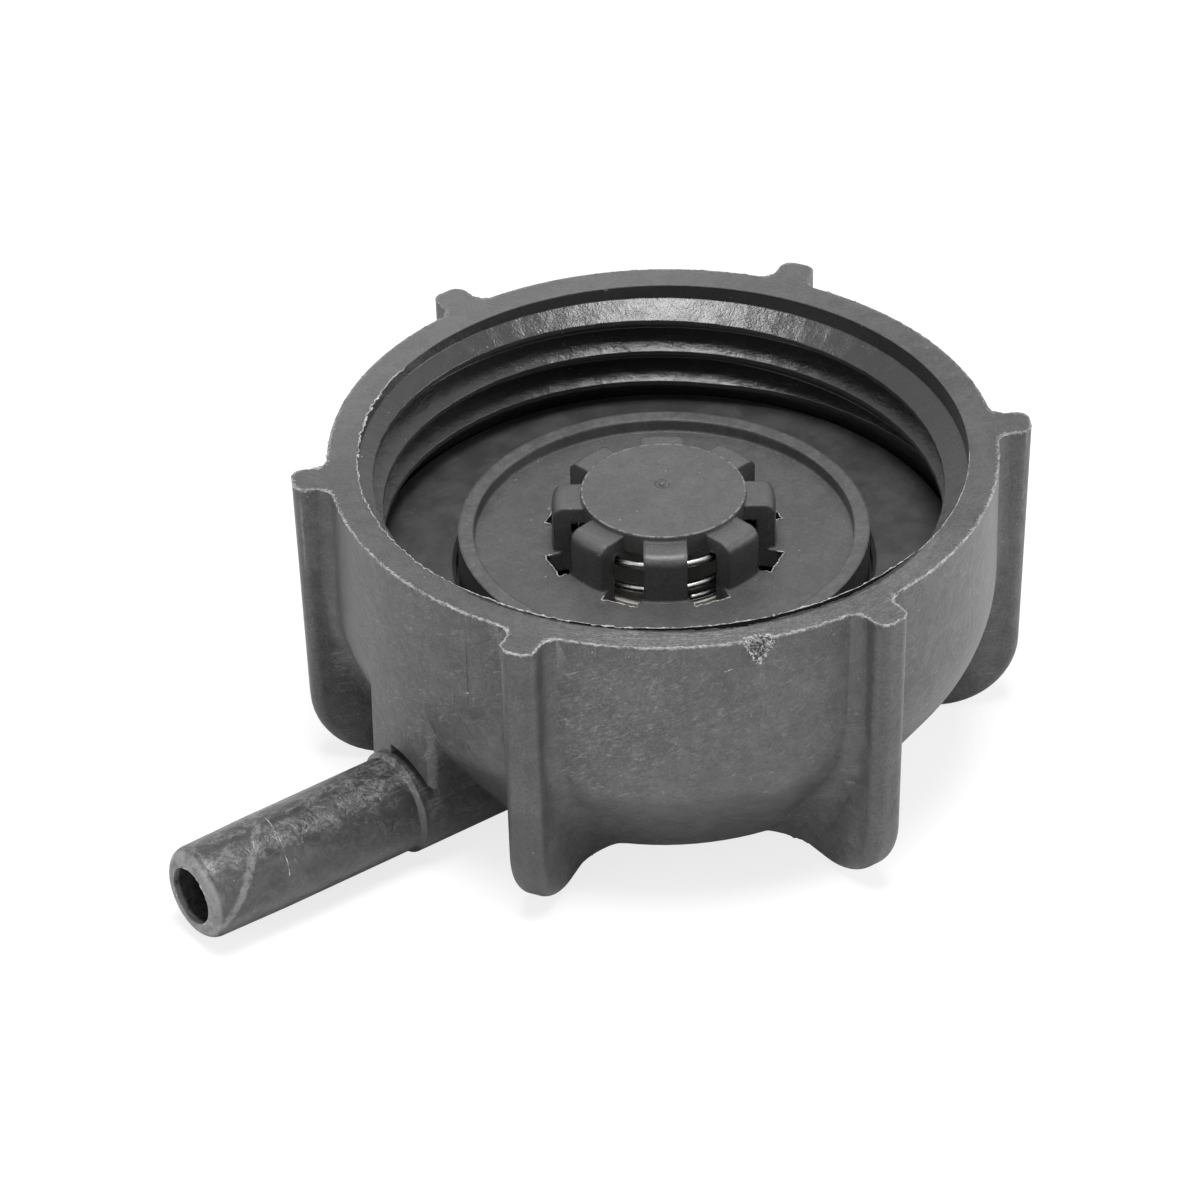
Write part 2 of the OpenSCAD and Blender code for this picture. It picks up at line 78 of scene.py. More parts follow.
# profile of the body's outside: centre, radius and slope of its two roundings, ends of the cone
CONE_LEAN = math.radians(34.6)
END_CENTRE = (17.93, 9.0)
END_ROUND = 9.0
CONE_FOOT = (25.338, 3.889)
CONE_SPAN = (5.909, 8.565)
SHOULDER_CENTRE = (18.9, 20.972)
SHOULDER_ROUND = 15.0
PROFILE_STEPS = 12


class Shader:
    """Node tree of one material, with short calls for the nodes used here. Lengths are in mm."""

    def __init__(self, name):
        self.mat = bpy.data.materials.new(name)
        self.mat.use_nodes = True
        self.tree = self.mat.node_tree
        self.bsdf = self.tree.nodes["Principled BSDF"]
        place = self.node("ShaderNodeTexCoord").outputs["Object"]
        self.pos = self.scaled(place, (1000, 1000, 1000))
        split = self.node("ShaderNodeSeparateXYZ")
        self.link(self.pos, split.inputs[0])
        self.x = split.outputs[0]
        self.y = split.outputs[1]
        self.z = split.outputs[2]
        self.r = self.math("SQRT", self.math("ADD", self.math("MULTIPLY", self.x, self.x),
                                             self.math("MULTIPLY", self.y, self.y)))
        # angle round the axis in degrees, 0 towards -Y, its seam towards +Y
        back = self.math("MULTIPLY", self.y, -1.0)
        self.turn = self.math("DEGREES", self.math("ARCTAN2", self.x, back))

    def node(self, kind, **props):
        made = self.tree.nodes.new(kind)
        for key, value in props.items():
            setattr(made, key, value)
        return made

    def link(self, value, socket):
        if isinstance(value, bpy.types.NodeSocket):
            self.tree.links.new(value, socket)
        else:
            socket.default_value = value

    def scaled(self, vector, scale, rotate=(0, 0, 0)):
        made = self.node("ShaderNodeMapping")
        self.link(vector, made.inputs["Vector"])
        made.inputs["Scale"].default_value = scale
        made.inputs["Rotation"].default_value = rotate
        return made.outputs["Vector"]

    def vector(self, x, y, z=0.0):
        made = self.node("ShaderNodeCombineXYZ")
        for value, socket in zip((x, y, z), made.inputs):
            self.link(value, socket)
        return made.outputs[0]

    def math(self, op, *values, clamp=False):
        made = self.node("ShaderNodeMath", operation=op, use_clamp=clamp)
        for value, socket in zip(values, made.inputs):
            self.link(value, socket)
        return made.outputs[0]

    def times(self, *values):
        out = values[0]
        for value in values[1:]:
            out = self.math("MULTIPLY", out, value)
        return out

    def step(self, value, low, high, start=0.0, end=1.0):
        made = self.node("ShaderNodeMapRange", interpolation_type="SMOOTHSTEP")
        for item, socket in zip((value, low, high, start, end), made.inputs[:5]):
            self.link(item, socket)
        return made.outputs[0]

    def band(self, value, low, high, soft):
        """1 between low and high, fading over soft on both sides."""
        rise = self.step(value, low - soft, low + soft)
        fall = self.step(value, high - soft, high + soft, 1.0, 0.0)
        return self.math("MULTIPLY", rise, fall)

    def noise(self, vector, scale, detail=4.0, rough=0.6, twist=0.0):
        made = self.node("ShaderNodeTexNoise")
        self.link(vector, made.inputs["Vector"])
        made.inputs["Scale"].default_value = scale
        made.inputs["Detail"].default_value = detail
        made.inputs["Roughness"].default_value = rough
        made.inputs["Distortion"].default_value = twist
        return made.outputs["Fac"]

    def mix(self, amount, first, second):
        made = self.node("ShaderNodeMix", data_type="RGBA")
        self.link(amount, made.inputs[0])
        self.link(first, made.inputs[6])
        self.link(second, made.inputs[7])
        return made.outputs[2]

    def bump(self, height, distance, strength, normal=None):
        made = self.node("ShaderNodeBump")
        self.link(height, made.inputs["Height"])
        made.inputs["Distance"].default_value = distance * MM
        made.inputs["Strength"].default_value = strength
        if normal is not None:
            self.link(normal, made.inputs["Normal"])
        return made.outputs["Normal"]

    def finish(self, color, rough, normal):
        self.link(color, self.bsdf.inputs["Base Color"])
        self.link(rough, self.bsdf.inputs["Roughness"])
        if normal is not None:
            self.link(normal, self.bsdf.inputs["Normal"])
        return self.mat


def grey(value, warm=0.0):
    return (value * (1 + warm), value, value * (1 - warm), 1)


def moulded(name, dark, light):
    """Moulded dark plastic: mottle at three scales, pale specks, hair scratches, moulded grain."""
    s = Shader(name)
    cloud = s.noise(s.pos, 0.13, 4, 0.6, 0.5)
    patch = s.noise(s.pos, 0.55, 5, 0.68, 0.6)
    fine = s.noise(s.pos, 3.2, 3, 0.6)
    speckle = s.noise(s.pos, 7.5, 3, 0.7)
    tone = s.math("ADD", s.times(cloud, 0.42), s.times(patch, 0.58))
    tone = s.math("ADD", tone, s.times(s.math("SUBTRACT", fine, 0.5), 0.55))
    tone = s.math("ADD", tone, s.times(s.math("SUBTRACT", speckle, 0.5), 0.75))
    color = s.mix(s.step(tone, 0.30, 0.72), grey(dark), grey(light))
    speck = s.step(s.noise(s.pos, 1.9, 2, 0.5), 0.735, 0.78)
    hair_place = s.scaled(s.pos, (0.5, 4.5, 4.5), (0.4, 0.3, 0.5))
    hair = s.step(s.noise(hair_place, 1.0, 4, 0.7, 0.4), 0.64, 0.72)
    hair = s.times(hair, s.step(patch, 0.45, 0.62), 0.35)
    return s, color, cloud, patch, fine, speck, hair


def relief(s, patch, fine, grain, soft):
    """Moulded grain and waviness over edges that look rounded by soft mm."""
    rounded = s.node("ShaderNodeBevel", samples=4)
    rounded.inputs["Radius"].default_value = soft * MM
    normal = s.bump(fine, 0.06, 0.5 * grain, rounded.outputs["Normal"])
    return s.bump(patch, 0.25, 0.5 * grain, normal)


def outline_distance(s):
    """Distance from the outline of the rim and its fins, negative inside, seen along the axis."""
    # the fins stand at 0, 60, ... degrees from -Y
    fold = s.math("SUBTRACT", s.math("FLOORED_MODULO", s.math("ADD", s.turn, 30.0), 60.0), 30.0)
    angle = s.math("RADIANS", fold)
    along = s.times(s.r, s.math("COSINE", angle))
    across = s.math("ABSOLUTE", s.times(s.r, s.math("SINE", angle)))
    wall = s.math("SUBTRACT", s.r, RIM_R)
    dx = s.math("SUBTRACT", along, FIN_TIP - FIN_EDGE)
    dy = s.math("SUBTRACT", across, FIN_HALF - FIN_EDGE)
    px = s.math("MAXIMUM", dx, 0.0)
    py = s.math("MAXIMUM", dy, 0.0)
    corner = s.math("SQRT", s.math("ADD", s.times(px, px), s.times(py, py)))
    inner = s.math("MINIMUM", s.math("MAXIMUM", dx, dy), 0.0)
    fin = s.math("SUBTRACT", s.math("ADD", corner, inner), FIN_EDGE)
    return s.math("SMOOTH_MIN", wall, fin, 2.3), along, across


def body_material():
    """Cap body: scuffed wall, brushed and torn rim, dark nipple with pale rubs; painted shade inside, at the
    nipple's root and behind the flash; painted light at the back and on fin edges.
    """
    s, color, cloud, patch, fine, speck, hair = moulded("cap_moulded", 0.032, 0.072)
    pale = grey(0.24)
    arc = s.times(s.turn, math.radians(1) * RIM_R)
    top = s.step(s.z, RIM_Z - 0.15, RIM_Z - 0.03)
    on_wall = s.times(s.band(s.r, RIM_R - 1.6, RIM_R + 0.4, 0.5), s.math("SUBTRACT", 1.0, top))
    # scuffs on the wall: short broken hairs in two directions, in patches, most beside the fin at az 210
    lie = s.vector(arc, s.z)
    rising = s.scaled(lie, (1, 1, 1), (0, 0, math.radians(-27)))
    steep = s.scaled(lie, (1, 1, 1), (0, 0, math.radians(-62)))
    first = s.noise(s.scaled(rising, (0.85, 3.4, 1)), 1.0, 6, 0.78, 0.7)
    second = s.noise(s.scaled(steep, (1.1, 3.6, 1)), 1.0, 6, 0.78, 0.9)
    strokes = s.math("MAXIMUM", s.step(first, 0.52, 0.62), s.times(s.step(second, 0.545, 0.64), 0.8))
    broken = s.step(s.noise(s.pos, 1.5, 4, 0.7), 0.38, 0.56)
    place = s.noise(s.vector(arc, s.z, 3.0), 0.30, 5, 0.66, 0.9)
    heavy = s.times(s.band(s.turn, -55, -36, 7), s.band(s.z, 12, 32, 4))
    worn = s.math("ADD", s.times(heavy, 0.6), s.times(s.step(place, 0.42, 0.62), 0.7), clamp=True)
    scuff = s.times(strokes, broken, worn, on_wall, 0.72)
    # cloudy rubbed patches
    clouds = s.step(s.noise(lie, 0.65, 5, 0.7, 1.5), 0.44, 0.62)
    clouds = s.times(clouds, s.math("ADD", worn, 0.2), on_wall, 0.09)
    # upright fine streaks down the wall
    upright = s.noise(s.vector(s.times(arc, 2.4), s.times(s.z, 0.22), 7.0), 1.0, 4, 0.65, 0.3)
    upright = s.times(s.step(upright, 0.55, 0.75), s.step(place, 0.35, 0.6, 1.0, 0.0), on_wall, 0.22)
    # brushed scratches round the rim's top
    brushed = s.noise(s.vector(s.times(arc, 0.45), s.times(s.r, 6.5), 1.0), 1.0, 4, 0.72, 0.5)
    crumbs = s.step(s.noise(s.pos, 3.0, 5, 0.75), 0.46, 0.64)
    brushed = s.math("ADD", s.times(s.step(brushed, 0.47, 0.68), 0.75), s.times(crumbs, 0.45), clamp=True)
    stretch = s.band(s.turn, -60, 24, 10)
    most = s.band(s.turn, -52, -16, 9)
    depth = s.math("ADD", s.times(stretch, 0.38), s.math("ADD", s.times(most, 0.42), 0.05))
    brushed = s.times(brushed, top, depth)
    # torn outer edge of the rim and of its fins
    away, along, across = outline_distance(s)
    ragged = s.times(s.math("SUBTRACT", s.noise(s.pos, 3.2, 5, 0.8), 0.5), 2.0)
    edge = s.step(s.math("ADD", away, ragged), -0.30, -0.12)
    lip = s.step(s.math("ADD", s.z, s.times(ragged, 0.6)), RIM_Z - 0.22, RIM_Z - 0.10)
    # nearly gone on the side away from the camera's, az 54
    far = s.math("ABSOLUTE", s.math("ADD", s.turn, 36.3))
    edge = s.times(edge, lip, s.step(s.noise(s.pos, 0.9, 4, 0.7), 0.38, 0.58, 0.05, 0.9))
    edge = s.times(edge, s.step(far, 70, 120, 1.0, 0.2))
    # upright edges of the fins: painted highlight along them, partly rubbed wear
    corner = s.band(across, 1.58, 1.70, 0.07)
    corner = s.times(corner, s.step(along, 36.4, 36.9), s.step(s.z, 8, 26, 0.1, 1.0))
    corner = s.times(corner, s.math("SUBTRACT", 1.0, s.times(s.band(s.turn, -60, 0, 0.5), 0.85)))
    corner_wear_and_light = s.noise(s.vector(s.x, s.y, s.times(s.z, 0.5)), 1.1, 4, 0.7)
    corner = s.times(corner, s.step(corner_wear_and_light, 0.42, 0.6, 0.1, 1.0), 0.22)
    # parting line on the wall
    seam = s.band(s.turn, -72.13, -71.97, 0.05)
    seam = s.times(seam, s.step(s.z, 22.6, 23.0), on_wall, 0.2)
    # nipple: pale rubbed patches, stronger over its top, which is partly painted light; painted shade towards
    # its root
    on_nipple = s.step(s.x, -34.4, -33.6, 1.0, 0.0)
    rub_place = s.noise(s.scaled(s.pos, (0.32, 0.55, 0.55)), 1.0, 5, 0.7, 1.2)
    over_top = s.band(s.z, NIPPLE_Z + 3.6, NIPPLE_Z + 6.0, 0.8)
    rub = s.times(s.step(rub_place, 0.42, 0.62), s.step(s.noise(s.pos, 2.2, 4, 0.7), 0.36, 0.6), on_nipple)
    # rubs stronger over the top: partly rubbed wear, partly painted light on the top
    rub = s.times(rub, s.math("ADD", s.times(over_top, 0.42), 0.10))
    # painted shade at the nipple's root, under the wall
    root_painted_shade = s.times(s.band(s.x, -41, -30, 4), s.step(s.z, 12.5, 14.5, 1.0, 0.0))
    root_painted_shade = s.times(root_painted_shade, s.step(s.y, -3.5, 0.5, 1.0, 0.25), 0.55)
    off_axis = s.math("SUBTRACT", s.z, NIPPLE_Z)
    over = s.math("DEGREES", s.math("ARCTAN2", off_axis, s.math("MULTIPLY", s.y, -1.0)))
    band_x = s.math("ADD", s.times(s.math("SUBTRACT", over, 87.0), 0.072), -51.2)
    band_x = s.math("ADD", band_x, s.times(s.math("SUBTRACT", s.noise(s.pos, 0.8, 3, 0.6), 0.5), 1.6))
    diagonal = s.band(s.math("SUBTRACT", s.x, band_x), -0.55, 0.55, 0.22)
    diagonal = s.times(diagonal, on_nipple, s.step(s.x, -50.4, -51.0))
    diagonal = s.times(diagonal, s.step(s.noise(s.pos, 1.8, 4, 0.7), 0.3, 0.6), 0.5)
    end_worn = s.times(s.step(s.x, -58.9, -58.5, 1.0, 0.0), s.step(patch, 0.35, 0.6, 0.2, 0.6))

    # shinier skin on the inside and the nipple; painted shade darkens the inside and the bore
    inside = s.times(s.math("SUBTRACT", 1.0, top), s.step(s.r, THREAD_R + 0.3, THREAD_R + 0.6, 1.0, 0.0))
    inside = s.times(inside, s.step(s.z, 17.8, 18.4))
    from_axis = s.math("SQRT", s.math("ADD", s.times(off_axis, off_axis), s.times(s.y, s.y)))
    bore = s.times(on_nipple, s.step(from_axis, 3.1, 3.3, 1.0, 0.0), s.step(s.x, -59.2, -59.0))
    inside = s.math("MAXIMUM", inside, bore)
    color = s.mix(s.times(inside, 0.85), color, grey(0.019))
    # nipple darker all round: partly its own darker plastic, partly painted shade
    color = s.mix(s.times(on_nipple, 0.85), color, s.mix(s.step(patch, 0.38, 0.62), grey(0.018), grey(0.036)))
    color = s.mix(root_painted_shade, color, grey(0.018))
    hair = s.times(hair, s.math("SUBTRACT", 0.8, s.times(top, 0.7)))
    speck = s.times(speck, 0.7)
    for amount in (clouds, scuff, upright, brushed, rub, diagonal, end_worn, hair, speck, seam):
        color = s.mix(amount, color, pale)
    # painted light: the rim's top paler round the back, where more light reflects from it
    back_painted_light = s.times(top, s.step(s.math("ABSOLUTE", s.turn), 95, 150), 0.16)
    color = s.mix(back_painted_light, color, pale)
    color = s.mix(edge, color, grey(0.36))
    # painted highlight on the fins' upright edges, partly wear
    color = s.mix(corner, color, grey(0.42))
    # painted shade: dark band behind the flash at the inner edge, where the gap lies in shadow
    painted_shade_edge = s.math("ADD", s.r, s.times(s.math("SUBTRACT", s.noise(s.pos, 1.3, 4, 0.65), 0.5), 0.6))
    painted_shade_edge = s.math("SUBTRACT", painted_shade_edge, s.times(s.band(s.turn, -36, 10, 8), 0.42))
    gap = s.step(painted_shade_edge, THREAD_R + 0.24, THREAD_R + 0.32, 1.0, 0.0)
    gap = s.times(gap, s.band(s.turn, -76, 18, 1.5), top)
    color = s.mix(gap, color, grey(0.006))

    rough = s.math("ADD", s.times(cloud, 0.16), 0.33)
    rough = s.math("ADD", rough, s.times(scuff, 0.15))
    rough = s.math("SUBTRACT", rough, s.times(on_nipple, 0.09))
    rough = s.math("SUBTRACT", rough, s.times(inside, 0.17))
    height = s.math("ADD", patch, s.times(strokes, worn, on_wall, 0.15))
    normal = relief(s, height, fine, 1.0, 0.15)
    normal = s.bump(s.math("ADD", s.times(brushed, 1.0), s.times(edge, 1.5)), 0.06, 0.7, normal)
    return s.finish(color, rough, normal)


def carrier_material():
    """Valve carrier: cleaner moulded plastic, rubbed at the disc's rim."""
    s, color, cloud, patch, fine, speck, hair = moulded("carrier_moulded", 0.051, 0.086)
    pale = grey(0.26)
    color = s.mix(s.times(hair, 0.5), color, pale)
    color = s.mix(s.times(speck, 0.9), color, pale)
    # moulded disc: rubbed rim
    rim = s.times(s.band(s.r, DISC_R - 0.18, DISC_R + 0.1, 0.06), s.step(s.z, DISC_Z - 0.14, DISC_Z - 0.04))
    rim = s.times(rim, s.step(s.noise(s.pos, 1.4, 3, 0.6), 0.40, 0.58), 0.5)
    color = s.mix(rim, color, grey(0.34))
    # ring round the plate: rubbed top, partly a painted highlight
    ring = s.times(s.band(s.r, 19.3, 21.1, 0.1), s.step(s.z, PLATE_Z + 1.2, PLATE_Z + 1.38))
    ring = s.times(ring, s.step(s.noise(s.pos, 0.9, 4, 0.7), 0.45, 0.65), 0.12)
    color = s.mix(ring, color, pale)
    rough = s.math("ADD", s.times(cloud, 0.14), 0.34)
    normal = relief(s, patch, fine, 0.6, 0.45)
    return s.finish(color, rough, normal)


def torn_material():
    """Torn and scraped plastic: stress-whitened, patchy."""
    s = Shader("torn_plastic")
    tone = s.noise(s.pos, 1.7, 4, 0.7)
    color = s.mix(s.step(tone, 0.36, 0.62), grey(0.11), grey(0.46))
    normal = s.bump(s.noise(s.pos, 6, 3, 0.6), 0.08, 0.6)
    return s.finish(color, 0.6, normal)


def flash_shade_material():
    """Painted shade: near black without gloss, for the deep shade between the flash and the rim."""
    s = Shader("flash_painted_shade")
    s.bsdf.inputs["Base Color"].default_value = grey(0.006)
    s.bsdf.inputs["Roughness"].default_value = 1.0
    s.bsdf.inputs["Specular IOR Level"].default_value = 0.0
    return s.mat


def nick_shade_material():
    """Inside of the nick: painted shade, near black, with pale crumbs."""
    s = Shader("nick_painted_shade")
    tone = s.noise(s.pos, 3.5, 4, 0.7)
    color = s.mix(s.step(tone, 0.44, 0.60), grey(0.012), grey(0.22))
    normal = s.bump(tone, 0.2, 0.9)
    return s.finish(color, 0.7, normal)


def rubber_material():
    s = Shader("seal_rubber")
    cloud = s.noise(s.pos, 0.3, 4, 0.6)
    dust = s.noise(s.pos, 2.4, 4, 0.7)
    color = s.mix(s.step(cloud, 0.35, 0.7), grey(0.030), grey(0.052))
    color = s.mix(s.times(s.step(dust, 0.62, 0.75), 0.4), color, grey(0.16))
    rough = s.math("ADD", s.times(cloud, 0.12), 0.40)
    return s.finish(color, rough, s.bump(s.noise(s.pos, 5, 3, 0.6), 0.05, 0.4))


def valve_material():
    s = Shader("valve_moulded")
    cloud = s.noise(s.pos, 0.3, 4, 0.6)
    color = s.mix(s.step(cloud, 0.3, 0.7), (0.50, 0.49, 0.45, 1), (0.62, 0.60, 0.54, 1))
    rough = s.math("ADD", s.times(cloud, 0.12), 0.38)
    return s.finish(color, rough, s.bump(s.noise(s.pos, 3, 3, 0.6), 0.04, 0.4))


def wire_material():
    s = Shader("spring_wire")
    drawn = s.noise(s.scaled(s.pos, (1.2, 1.2, 6)), 1.0, 3, 0.6)
    color = s.mix(drawn, grey(0.34, 0.01), grey(0.50, 0.01))
    s.bsdf.inputs["Metallic"].default_value = 1.0
    rough = s.math("ADD", s.times(drawn, 0.15), 0.18)
    return s.finish(color, rough, s.bump(drawn, 0.02, 0.3))


mat_body = body_material()
mat_carrier = carrier_material()
mat_torn = torn_material()
mat_nick_shade = nick_shade_material()
mat_flash_shade = flash_shade_material()
mat_rubber = rubber_material()
mat_valve = valve_material()
mat_wire = wire_material()

FINISHES = {
    "cap_body": mat_body,
    "valve_carrier": mat_carrier,
    "neck_seal": mat_rubber,
    "carrier_o_ring": mat_rubber,
    "pressure_valve": mat_valve,
    "pressure_seal": mat_rubber,
    "pressure_spring": mat_wire,
    "spring_retainer": mat_valve,
    "vacuum_valve": mat_valve,
    "vacuum_seal": mat_rubber,
    "vacuum_spring": mat_wire,
}
for name, mat in FINISHES.items():
    solid = NODES[name]
    if not solid.material_slots:
        solid.data.materials.append(mat)
    for place in solid.material_slots:
        place.material = mat


def polar(r, degrees, z):
    a = math.radians(degrees)
    return Vector((r * math.cos(a), r * math.sin(a), z))


def swung(u, v, z, angle):
    """Point u along and v beside a line from the axis at an angle."""
    return Vector((u * math.cos(angle) - v * math.sin(angle), u * math.sin(angle) + v * math.cos(angle), z))


def piece(name, points, faces, mats, body, face_mats=None, smooth=True):
    """Mesh object from points in mm, riding on a body."""
    mesh = bpy.data.meshes.new(name)
    mesh.from_pydata([p * MM for p in points], [], faces)
    for mat in mats:
        mesh.materials.append(mat)
    for i, face in enumerate(mesh.polygons):
        face.use_smooth = smooth
        if face_mats:
            face.material_index = face_mats[i]
    mesh.validate()
    mesh.update()
    made = bpy.data.objects.new(name, mesh)
    bpy.context.scene.collection.objects.link(made)
    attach(made, body)
    return made


def resample(path, gap):
    """Points about gap apart along a polyline of vectors."""
    out = [path[0]]
    rest = gap
    for a, b in zip(path, path[1:]):
        length = (b - a).length
        while length >= rest and length > 0:
            a = a.lerp(b, rest / length)
            out.append(a)
            length = (b - a).length
            rest = gap
        rest -= length
    return out


def wobble(place, seed, scale):
    """Smooth noise from -1 to 1 at a place, the same for the same seed."""
    at = Vector((place[0] * scale + seed, place[1] * scale - seed, place[2] * scale + 0.37 * seed))
    return noise.noise(at)


def burr(path, up, width, height, seed, closed=False, strength=None, gap=0.12, lowest=0.06, jag=0.45):
    """Points and faces of a ragged raised line along a path on a surface whose normal is up(point)."""
    line = resample(path, gap)
    count = len(line)
    points = []
    for i, here in enumerate(line):
        before = line[i - 1] if i or closed else line[0]
        after = line[(i + 1) % count] if i + 1 < count or closed else line[-1]
        ahead = (after - before).normalized()
        normal = up(here)
        out = ahead.cross(normal).normalized()
        rough = 0.55 + 0.75 * wobble(here, seed, 1.3) + 0.5 * wobble(here, seed + 5, 4.1)
        tall = max(lowest, rough) * height
        wide = width * (0.7 + 0.6 * abs(wobble(here, seed + 9, 2.3)))
        if strength:
            power = strength(here)
            tall *= power
            wide *= 0.35 + 0.65 * power
        if not closed:
            ends = min(1.0, i / 3, (count - 1 - i) / 3)
            tall *= ends
            wide *= 0.2 + 0.8 * ends
        side = jag * width * (wobble(here, seed + 13, 1.7) + 0.6 * wobble(here, seed + 15, 4.7))
        lean = 0.3 * width * wobble(here, seed + 17, 2.9)
        section = ((-0.5, -0.04), (-0.28, 0.65 * tall), (0.05, tall), (0.3, 0.55 * tall), (0.5, -0.04))
        for across, high in section:
            shift = side + across * wide + (lean if high == tall else 0)
            points.append(here + out * shift + normal * high)
    faces = []
    last = count if closed else count - 1
    for i in range(last):
        a = 5 * i
        b = 5 * ((i + 1) % count)
        for j in range(4):
            faces.append((a + j, b + j, b + j + 1, a + j + 1))
        faces.append((a + 4, b + 4, b, a))
    if not closed:
        faces.append(tuple(range(4, -1, -1)))
        faces.append(tuple(5 * (count - 1) + j for j in range(5)))
    return points, faces


def joined(parts):
    """Points and faces of several parts as one."""
    points = []
    faces = []
    for more_points, more_faces in parts:
        start = len(points)
        points += more_points
        faces += [tuple(i + start for i in face) for face in more_faces]
    return points, faces


def rim_outline(inset, z):
    """Closed outline of the rim with its fins, inset a little."""
    out = []
    wall = RIM_R - inset
    half = FIN_HALF - inset
    edge = FIN_EDGE - inset
    tip = FIN_TIP - inset
    root = ROOT_R + inset
    root_v = half + root
    root_u = math.sqrt((wall + root) ** 2 - root_v ** 2)
    reach = math.degrees(math.atan2(root_v, root_u))
    for k in range(FIN_COUNT):
        middle = FIN_FIRST + FIN_STEP * k
        flat = []
        # rounding at the fin's root, from the wall to the side face, then the fin's edge
        first = math.atan2(root_v, -root_u)
        for i in range(9):
            a = first + (math.pi / 2 - first) * i / 8
            flat.append((root_u + root * math.cos(a), -root_v + root * math.sin(a)))
        for i in range(7):
            a = -math.pi / 2 + math.pi / 2 * i / 6
            flat.append((tip - edge + edge * math.cos(a), -(half - edge) + edge * math.sin(a)))
        mirror = [(u, -v) for u, v in reversed(flat)]
        flat += mirror
        for u, v in flat:
            out.append(swung(u, v, z, math.radians(middle)))
        for i in range(1, 24):
            out.append(polar(wall, middle + reach + (FIN_STEP - 2 * reach) * i / 24, z))
    out.append(out[0])
    return out


def upward(place):
    return Vector((0, 0, 1))


def outward(place):
    return Vector((place.x, place.y, 0)).normalized()


def off_nipple(place):
    return Vector((0, place.y, place.z - NIPPLE_Z)).normalized()


def off_end(place):
    return Vector((-1, 0, 0))


def azimuth(place):
    return math.degrees(math.atan2(place.y, place.x)) % 360


def rim_power(place):
    """How torn the outer edge is: most on the camera's side, little at the back."""
    az = azimuth(place)
    near = max(0.0, math.cos(math.radians(az - 228)))
    return 0.15 + 0.85 * near ** 0.7


points, faces = burr(rim_outline(0.07, RIM_Z), upward, 0.11, 0.12, 3.0, closed=True, strength=rim_power,
                     gap=0.10, lowest=-0.10, jag=2.0)
piece("rim_torn_edge", points, faces, [mat_torn], "cap")


def arc_path(r, first, last, z, shift=None):
    """Points along a circle between two azimuths, shift(azimuth) further out."""
    count = max(2, int(abs(last - first) * 2))
    out = []
    for i in range(count + 1):
        az = first + (last - first) * i / count
        out.append(polar(r + (shift(az) if shift else 0), az, z))
    return out


def flash_power(place):
    """Full height along the front, fading out at both ends."""
    az = azimuth(place)
    ends = min(1.0, max(0.0, (az - 188) / 12), max(0.0, (288 - az) / 14))
    return 0.35 + 0.65 * ends


def flash_shift(az):
    return 0.05 * math.sin(math.radians(az * 7)) + 0.03 * math.sin(math.radians(az * 23))


# flash blade on the inner edge, broken once, thin line and flakes further round
blade = [
    burr(arc_path(THREAD_R - 0.06, 189, 253.1, RIM_Z - 0.06, flash_shift), upward, 0.12, 0.34, 21.0,
         strength=flash_power, lowest=0.62, jag=0.8),
    burr(arc_path(THREAD_R - 0.16, 253.7, 287, RIM_Z - 0.06, flash_shift), upward, 0.12, 0.34, 27.0,
         strength=flash_power, lowest=0.62, jag=0.8),
    burr(arc_path(THREAD_R + 0.04, 112, 189, RIM_Z), upward, 0.15, 0.12, 31.0, lowest=0.05, jag=1.2),
    burr(arc_path(THREAD_R + 0.04, 287, 322, RIM_Z), upward, 0.10, 0.05, 33.0),
]
# flakes: azimuth, length, height
for az, long, tall in ((123, 1.5, 0.30), (127.5, 0.8, 0.25), (132, 2.0, 0.34), (138.5, 1.0, 0.28),
                       (143.5, 0.9, 0.22), (150, 0.7, 0.18), (253.2, 0.6, 0.45)):
    half = long / 2 / THREAD_R * 180 / math.pi
    flake = arc_path(THREAD_R - 0.02, az - half, az + half, RIM_Z - 0.02)
    blade.append(burr(flake, upward, 0.30, tall, az, gap=0.09))
points, faces = joined(blade)
piece("rim_flash", points, faces, [mat_torn], "cap")


def grid_patch(rows, cols, place):
    """Open patch of rows x cols points, place(u, v) with u and v from 0 to 1."""
    points = [place(i / (cols - 1), j / (rows - 1)) for j in range(rows) for i in range(cols)]
    faces = []
    for j in range(rows - 1):
        for i in range(cols - 1):
            a = j * cols + i
            faces.append((a, a + 1, a + cols + 1, a + cols))
    return points, faces


# rounding at the fins' feet: radius on the wall, extra at the closed end, where it starts, over what height
BLEND_R = 1.84
BLEND_MORE = 1.7
BLEND_TOP = 16
BLEND_RUN = 12
BLEND_STEPS = 8


def body_profile():
    """Points of the body's outside from the closed end up, each with its outward normal: r, z, nr, nz."""

    def rounded(centre, radius, first, last):
        for i in range(PROFILE_STEPS + 1):
            a = first + (last - first) * i / PROFILE_STEPS
            out.append((centre[0] + radius * math.cos(a), centre[1] + radius * math.sin(a),
                        math.cos(a), math.sin(a)))

    out = [(r, 0.0, 0.0, -1.0) for r in (14.0, 16.0)]
    rounded(END_CENTRE, END_ROUND, math.radians(-90), -CONE_LEAN)
    for i in range(1, PROFILE_STEPS):
        t = i / PROFILE_STEPS
        out.append((CONE_FOOT[0] + CONE_SPAN[0] * t, CONE_FOOT[1] + CONE_SPAN[1] * t,
                    math.cos(CONE_LEAN), -math.sin(CONE_LEAN)))
    rounded(SHOULDER_CENTRE, SHOULDER_ROUND, -CONE_LEAN, 0.0)
    return out


def fin_half(z):
    """Half the fin's width at a height, less over its rounded lower edge."""
    low = max(0.0, FIN_EDGE - z)
    return FIN_HALF - FIN_EDGE + math.sqrt(FIN_EDGE ** 2 - low ** 2)


